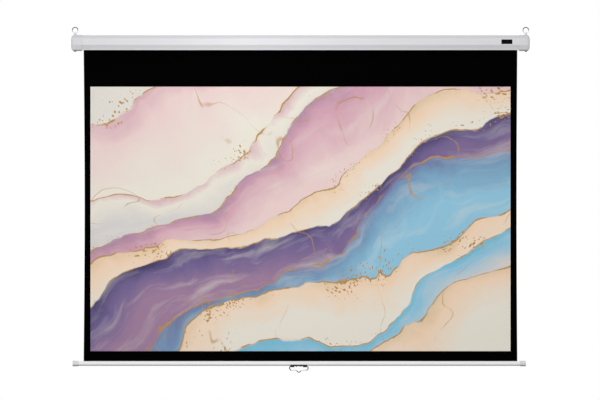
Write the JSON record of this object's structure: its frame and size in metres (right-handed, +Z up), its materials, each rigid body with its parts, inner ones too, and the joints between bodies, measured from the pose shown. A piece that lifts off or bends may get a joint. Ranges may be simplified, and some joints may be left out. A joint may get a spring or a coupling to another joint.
{
  "type": "pull-down projection screen",
  "caption": "Hanging spring-roller projection screen: white case with eyes, black-bordered sheet, weight bar and a wire pull handle.",
  "frame": {"origin": "midway between the two hanging eyes, at the height where their hooks bear inside the rings", "axes": "+X to the right along the roller, seen by the audience; -Y towards the audience; +Z up"},
  "size_m": [2.35, 0.0818, 1.7727],
  "materials": {
    "white_steel": "satin white powder coat",
    "white_plastic": "satin white moulding",
    "white_aluminium": "white powder coat on an extrusion",
    "black_plastic": "fine matt",
    "black_fabric": "matt black coated weave",
    "screen_white": "matt white projection coat",
    "chrome_wire": "bright plate",
    "zinc_steel": "zinc plate",
    "dark_steel": "dark zinc",
    "spring_steel": "oiled spring wire",
    "nylon": "natural nylon"
  },
  "bodies": {
    "root": {"case_shell": "white_steel", "badge": "black_plastic", "end_cap_left": "white_plastic", "end_cap_right": "white_plastic", "end_bracket_left": "zinc_steel", "end_bracket_right": "zinc_steel", "cap_screw_left": "dark_steel", "cap_screw_right": "dark_steel", "sleeve_screw_left": "dark_steel", "sleeve_screw_right": "dark_steel", "idler_pin": "zinc_steel", "idler_spacer": "nylon", "torsion_spring": "spring_steel", "spring_anchor": "black_plastic", "spring_shaft": "zinc_steel", "ratchet_hub": "zinc_steel", "screen_fabric": "black_fabric", "viewing_surface": "screen_white"},
    "roller": {"roller_tube": "zinc_steel", "fabric_wraps": "black_fabric", "idler_plug": "nylon", "spring_plug": "nylon", "pawl_rivet_upper": "zinc_steel", "pawl_rivet_lower": "zinc_steel"},
    "upper_pawl": {"pawl_upper": "dark_steel"},
    "lower_pawl": {"pawl_lower": "dark_steel"},
    "bar": {"weight_bar": "white_aluminium", "hem_rod": "nylon", "fabric_hem": "black_fabric", "bar_cap_left": "white_plastic", "bar_cap_right": "white_plastic", "handle_bracket": "black_plastic", "handle_screw_left": "dark_steel", "handle_screw_right": "dark_steel"},
    "bail": {"handle_bail": "chrome_wire"},
    "left_eye": {"hanging_eye_left": "chrome_wire", "eye_washer_left": "zinc_steel", "eye_nut_left": "zinc_steel"},
    "right_eye": {"hanging_eye_right": "chrome_wire", "eye_washer_right": "zinc_steel", "eye_nut_right": "zinc_steel"}
  },
  "joints": [
    {"name": "screen_pull", "type": "slide", "parent": "root", "child": "bar", "axis": [0, 0, 1], "range_m": [0, 1.582], "deforming": ["screen_fabric", "viewing_surface"]},
    {"name": "roller_spin", "type": "hinge", "parent": "root", "child": "roller", "pos_m": [0, 0, -0.0764], "axis": [1, 0, 0], "range_deg": [0, 3600.1]},
    {"name": "upper_pawl_pivot", "type": "hinge", "parent": "roller", "child": "upper_pawl", "pos_m": [-1.123, 0, -0.0589], "axis": [1, 0, 0], "range_deg": [0, 12.1]},
    {"name": "lower_pawl_pivot", "type": "hinge", "parent": "roller", "child": "lower_pawl", "pos_m": [-1.123, 0, -0.0939], "axis": [1, 0, 0], "range_deg": [0, 12.1]},
    {"name": "bail_swing", "type": "hinge", "parent": "bar", "child": "bail", "pos_m": [-0.0092, 0.02473, -1.7368], "axis": [1, 0, 0], "range_deg": [-85, 85]},
    {"name": "left_eye_swivel", "type": "hinge", "parent": "root", "child": "left_eye", "pos_m": [-1.155, 0, 0], "axis": [0, 0, 1], "continuous": true},
    {"name": "right_eye_swivel", "type": "hinge", "parent": "root", "child": "right_eye", "pos_m": [1.155, 0, 0], "axis": [0, 0, 1], "continuous": true}
  ],
  "couplings": [
    {"joint": "roller_spin", "follows": "screen_pull", "rad_per_m": 39.717}
  ]
}
